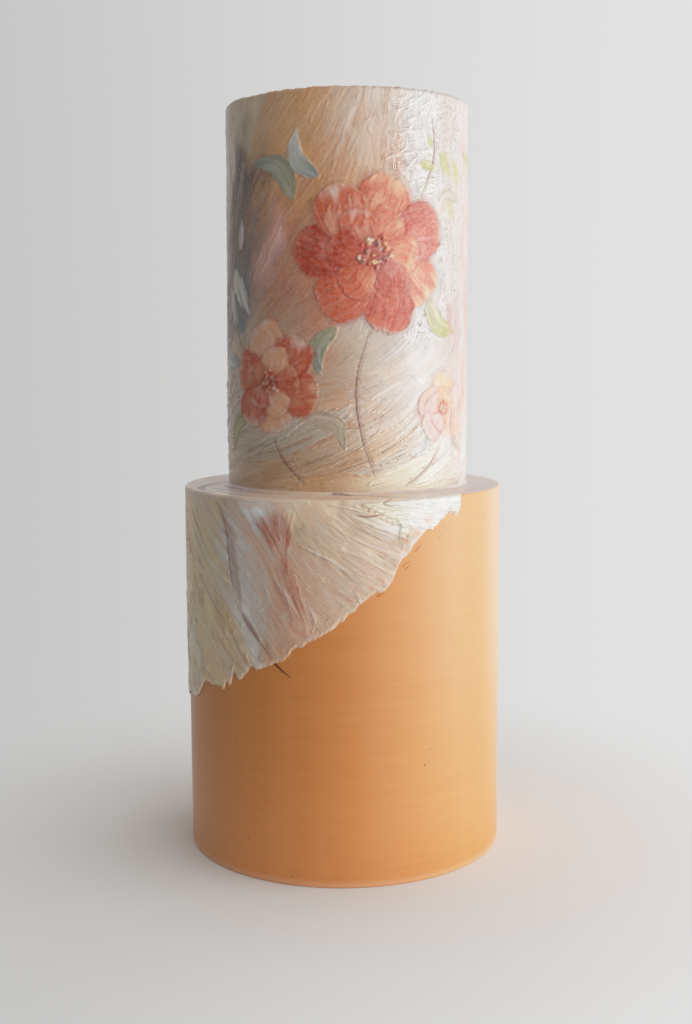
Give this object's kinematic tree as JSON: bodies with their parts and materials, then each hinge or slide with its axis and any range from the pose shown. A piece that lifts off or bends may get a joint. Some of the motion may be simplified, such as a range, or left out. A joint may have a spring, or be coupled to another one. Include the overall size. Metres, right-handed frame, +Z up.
{
  "type": "buttercream cake",
  "caption": "Tall tiered cake in smooth peach buttercream, with a painted pearl buttercream coat torn along its lower edge and palette-knife flowers on the upper tier.",
  "frame": {"origin": "centre of the flat base, on the surface the cake stands on", "axes": "+Z up through the tiers, -Y the front, +X to the right as seen from the front"},
  "size_m": [0.2161, 0.2172, 0.4971],
  "materials": {
    "peach_buttercream": "scraped smooth buttercream with a satin gloss, peach, with faint level scraper marks",
    "painted_coat_buttercream": "thin knife-swept buttercream in ivory, lilac grey and blush with russet streaks and a pearly glaze",
    "painted_pearl_buttercream": "palette-knife and brush painted buttercream in pearl, beige, peach and terracotta with a pearly glaze"
  },
  "bodies": {
    "root": {"lower_tier": "peach_buttercream", "painted_coat": "painted_coat_buttercream", "upper_tier": "painted_pearl_buttercream"}
  },
  "joints": []
}
